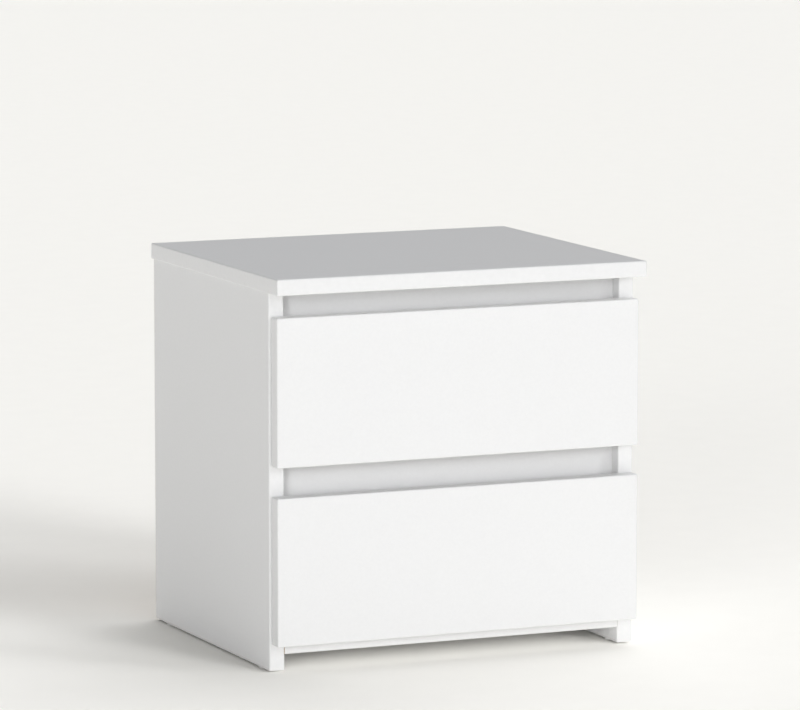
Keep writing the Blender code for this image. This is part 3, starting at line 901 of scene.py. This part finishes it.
def bent_sheet(name, corners, side, panel_x, base_z, start, end):
    """Bent sheet from start to end along Y. corners are (distance from the side panel, height)."""
    shape = bmesh.new()
    ring = [shape.verts.new((panel_x - side * p.x, start, base_z + p.y)) for p in sheet_outline(corners)]
    face = shape.faces.new(ring)
    swept = bmesh.ops.extrude_face_region(shape, geom=[face])
    moved = [item for item in swept["geom"] if isinstance(item, bmesh.types.BMVert)]
    bmesh.ops.translate(shape, vec=(0, end - start, 0), verts=moved)
    return new_object(name, mesh_of(shape, name), [enamel])


def screw_row(name, places, outward, body):
    matrices = [Matrix.Translation(place) @ facing(outward) for place in places]
    copies(name, screw_shape, matrices, zinc_plate, body)


def add_slot(shape, place, direction, length):
    """The cutter of a round-ended slot whose length lies along Y."""
    y_way = Vector((0, 1, 0))
    across = Vector(direction).cross(y_way)
    along = y_way * (length - SLOT_WIDTH) / 2
    steps = ROUND_STEPS // 2
    ring = []
    for i in range(2 * steps):
        angle = math.pi * (i + 0.5) / steps
        end = along if math.cos(angle) > 0 else -along
        round_end = (y_way * math.cos(angle) + across * math.sin(angle)) * SLOT_WIDTH / 2
        ring.append(Vector(place) + end + round_end)
    depth_way = Vector(direction) * PUNCH_DEPTH / 2
    near = [shape.verts.new(point - depth_way) for point in ring]
    far = [shape.verts.new(point + depth_way) for point in ring]
    shape.faces.new(near)
    shape.faces.new(far[::-1])
    for i in range(len(ring)):
        j = (i + 1) % len(ring)
        shape.faces.new((near[i], far[i], far[j], near[j]))


def build_cabinet_runner(level, side_name, side):
    """The member screwed to the side panel: punched web, screws, and a stop bent up at its rear end."""
    node = f"{level}_{side_name}_cabinet_runner"
    low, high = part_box(node)
    panel_x = side * innermost(f"side_panel_{side_name}")
    web = SEAT_GAP + SHEET / 2
    height = high.z - low.z
    corners = [
        (web + 6.2 * MM, height - SHEET / 2),
        (web, height - SHEET / 2),
        (web, SHEET / 2),
        (web + 9.7 * MM, SHEET / 2),
    ]
    piece = bent_sheet(node + "_member", corners, side, panel_x, low.z, low.y, high.y)
    inward = Vector((-side, 0, 0))
    screw_z = low.z + height / 2
    web_face = panel_x - side * (SEAT_GAP + SHEET)
    screw_y = [between(low.y, high.y, share) for share in CABINET_SCREWS]
    holes = bmesh.new()
    notch = sorted((panel_x - side * (web + BEND_RADIUS), panel_x - side * 20 * MM))
    notch_low = (notch[0], low.y - 1 * MM, high.z - 2 * SHEET)
    add_box(holes, notch_low, (notch[1], low.y + LIP_CUTBACK, high.z + 1 * MM))
    pin = middle_of(f"{level}_{side_name}_front_pin")
    reach = panel_x + side * 1 * MM
    add_cylinder(holes, (reach, pin.y, pin.z), inward, PIN_RADIUS + SEAT_GAP, PUNCH_DEPTH)
    for y in screw_y:
        mouth = (web_face - side * 0.2 * MM, y, screw_z)
        add_cylinder(holes, mouth, -inward, SINK_RADIUS, SINK_DEPTH, SINK_END_RADIUS)
    for share, length in CABINET_SLOTS:
        add_slot(holes, (panel_x - side * web, between(low.y, high.y, share), screw_z), inward, length)
    cut(piece, holes)
    add_stop(piece, side, panel_x, web, low, high)
    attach(piece, "carcass")
    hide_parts(node)
    places = [Vector((web_face - side * 0.05 * MM, y, screw_z)) for y in screw_y]
    screw_row(node + "_screws", places, inward, "carcass")


def add_stop(piece, side, panel_x, web, low, high):
    """The tab that stands up at a cabinet runner's rear end, behind the drawer's roller."""
    stop = bmesh.new()
    ends = sorted((panel_x - side * web, panel_x - side * (web + 9.5 * MM)))
    add_box(stop, (ends[0], high.y - SHEET, low.z + SHEET / 2), (ends[1], high.y, low.z + STOP_HEIGHT))
    combine(piece, stop, "UNION")


def build_drawer_runner(level, side_name, side):
    """The member under the drawer's side: a punched flange with screws from below, a web and a lip."""
    node = f"{level}_{side_name}_drawer_runner"
    body = f"{level}_drawer"
    low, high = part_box(node)
    panel_x = side * innermost(f"side_panel_{side_name}")
    web = abs(panel_x) - outermost(f"{level}_drawer_side_{side_name}") - SEAT_GAP - SHEET / 2
    inner = abs(panel_x) - innermost(node)
    outer = abs(panel_x) - outermost(node)
    height = high.z - low.z
    corners = [
        (inner, SHEET / 2),
        (web, SHEET / 2),
        (web, height - SHEET / 2),
        (outer, height - SHEET / 2),
    ]
    piece = bent_sheet(node + "_member", corners, side, panel_x, low.z, low.y, high.y)
    inward = Vector((-side, 0, 0))
    screw_x = panel_x - side * (web + 9.5 * MM)
    screw_y = [between(low.y, high.y, share) for share in DRAWER_SCREWS]
    holes = bmesh.new()
    pin = middle_of(f"{level}_{side_name}_rear_pin")
    reach = panel_x - side * (web - 2 * MM)
    add_cylinder(holes, (reach, pin.y, pin.z), inward, PIN_RADIUS + SEAT_GAP, PUNCH_DEPTH)
    for y in screw_y:
        mouth = (screw_x, y, low.z - 0.2 * MM)
        add_cylinder(holes, mouth, (0, 0, 1), SINK_RADIUS, SINK_DEPTH, SINK_END_RADIUS)
    for share, length in DRAWER_SLOTS:
        add_slot(holes, (screw_x, between(low.y, high.y, share), low.z + SHEET / 2), (0, 0, 1), length)
    cut(piece, holes)
    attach(piece, body)
    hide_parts(node)
    places = [Vector((screw_x, y, low.z + 0.05 * MM)) for y in screw_y]
    screw_row(node + "_screws", places, (0, 0, -1), body)


def build_roller(level, side_name, side, end):
    """A roller on its own body, and the pin that carries it."""
    roller_node = f"{level}_{side_name}_{end}_roller"
    pin_node = f"{level}_{side_name}_{end}_pin"
    centre = middle_of(roller_node)
    carrier = "carcass" if end == "front" else f"{level}_drawer"
    head_way = -side if end == "front" else side
    turned = Matrix.Translation(centre) @ facing((head_way, 0, 0))
    roller = copies(roller_node + "_wheel", roller_shape, [turned], nylon, roller_node)
    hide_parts(roller_node)
    pin = copies(pin_node + "_rivet", pin_shape, [turned], zinc_plate, carrier)
    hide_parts(pin_node)


def build_runners():
    for level in LEVELS:
        for side_name, side in SIDES.items():
            build_cabinet_runner(level, side_name, side)
            build_drawer_runner(level, side_name, side)
            for end in ("front", "rear"):
                build_roller(level, side_name, side, end)


cam_shape = cam_mesh()
screw_shape = screw_mesh()
panel_screw_shape = panel_screw_mesh()
nail_shape = nail_mesh()
roller_shape = roller_mesh()
pin_shape = pin_mesh()
glide_shape = glide_mesh()


# --- The carcass and the drawers ------------------------------------------------------------------


def build_boards():
    """Every faced board, with its banded and its butted sides, and the fittings let into it."""
    side_panel = ([FRONT, UNDER], [UPPER, REAR])
    carcass_boards = {
        "top_panel": ([FRONT, LEFT, RIGHT], []),
        "side_panel_left": side_panel,
        "side_panel_right": side_panel,
        "bottom_panel": ([FRONT], [LEFT, RIGHT, REAR]),
        "upper_rail": ([UNDER], [LEFT, RIGHT, UPPER]),
        "middle_rail": ([UPPER, UNDER], [LEFT, RIGHT]),
    }
    drawer_boards = {
        "front": ([LEFT, RIGHT, UNDER, UPPER], []),
        "side_left": ([UPPER], [FRONT]),
        "side_right": ([UPPER], [FRONT]),
        "back": ([UPPER], [LEFT, RIGHT]),
    }
    pieces = {node: board(node, "carcass", *edges) for node, edges in carcass_boards.items()}
    for level in LEVELS:
        body = f"{level}_drawer"
        for part, edges in drawer_boards.items():
            pieces[f"{body}_{part}"] = board(f"{body}_{part}", body, *edges)
    fit_carcass_cams(pieces)
    fit_rail_cams(pieces)
    fit_glides(pieces)
    for level in LEVELS:
        fit_drawer(pieces, level)
    for piece in pieces.values():
        keep_flat_faces(piece)


# --- Stage ----------------------------------------------------------------------------------------


def build_camera():
    data = bpy.data.cameras.new("camera")
    data.lens = CAMERA_LENS
    data.sensor_width = 36.0
    data.clip_end = 200.0
    camera = bpy.data.objects.new("camera", data)
    camera.location = CAMERA_PLACE
    camera.rotation_euler = (math.pi / 2 - CAMERA_PITCH, 0, -CAMERA_YAW)
    bpy.context.scene.collection.objects.link(camera)
    bpy.context.scene.camera = camera


def build_floor():
    """A plain matt floor of pale paper, very faintly mottled."""
    made = Finish("pale_floor", FLOOR_COLOUR, 0.9, specular=0.0)
    pulp = made.noise(40 * MM, detail=3)
    thin, thick = (tuple(value * scale for value in FLOOR_COLOUR) for scale in (0.996, 1.004))
    made.coloured(made.ramp(pulp, [(0.35, thin), (0.65, thick)]))
    shape = bmesh.new()
    bmesh.ops.create_grid(shape, x_segments=1, y_segments=1, size=FLOOR_SIZE / 2)
    mesh = bpy.data.meshes.new("floor")
    shape.to_mesh(mesh)
    shape.free()
    floor = new_object("floor", mesh, [made.material])
    return floor


def build_world():
    """A dim surround for lighting, which looks as pale as the floor where it shows behind it."""
    world = bpy.data.worlds.new("studio")
    world.use_nodes = True
    nodes = world.node_tree.nodes
    links = world.node_tree.links
    dim = nodes["Background"]
    dim.inputs["Color"].default_value = (1.0, 1.0, 1.0, 1.0)
    dim.inputs["Strength"].default_value = SURROUND
    pale = nodes.new("ShaderNodeBackground")
    pale.inputs["Color"].default_value = (*BACKDROP_COLOUR, 1.0)
    mix = nodes.new("ShaderNodeMixShader")
    links.new(nodes.new("ShaderNodeLightPath").outputs["Is Camera Ray"], mix.inputs["Fac"])
    links.new(dim.outputs["Background"], mix.inputs[1])
    links.new(pale.outputs["Background"], mix.inputs[2])
    links.new(mix.outputs["Shader"], nodes["World Output"].inputs["Surface"])
    bpy.context.scene.world = world


def far_light(name, azimuth, elevation, spread, strength):
    data = bpy.data.lights.new(name, "SUN")
    data.energy = strength
    data.angle = math.radians(spread)
    data.color = LIGHT_COLOUR
    lamp = bpy.data.objects.new(name, data)
    around, up = math.radians(azimuth), math.radians(elevation)
    level = Vector((math.sin(around), -math.cos(around), 0))
    towards = level * math.cos(up) + Vector((0, 0, math.sin(up)))
    lamp.rotation_euler = towards.to_track_quat("Z", "Y").to_euler()
    bpy.context.scene.collection.objects.link(lamp)
    return lamp


def build_lights(floor):
    """Studio lights, of which some light only the floor, where the cabinet still casts their shadow."""
    for light in LIGHTS:
        lamp = far_light(*light)
        lamp.visible_glossy = lamp.data.angle > NARROW_LIGHT
    floor_only = bpy.data.collections.new("floor_only")
    floor_only.objects.link(floor)
    for light in FLOOR_LIGHTS:
        far_light(*light).light_linking.receiver_collection = floor_only


def main():
    build_camera()
    floor = build_floor()
    build_world()
    build_lights(floor)
    build_boards()
    build_hardboard()
    build_runners()
    bpy.context.scene.view_settings.view_transform = "Standard"


main()
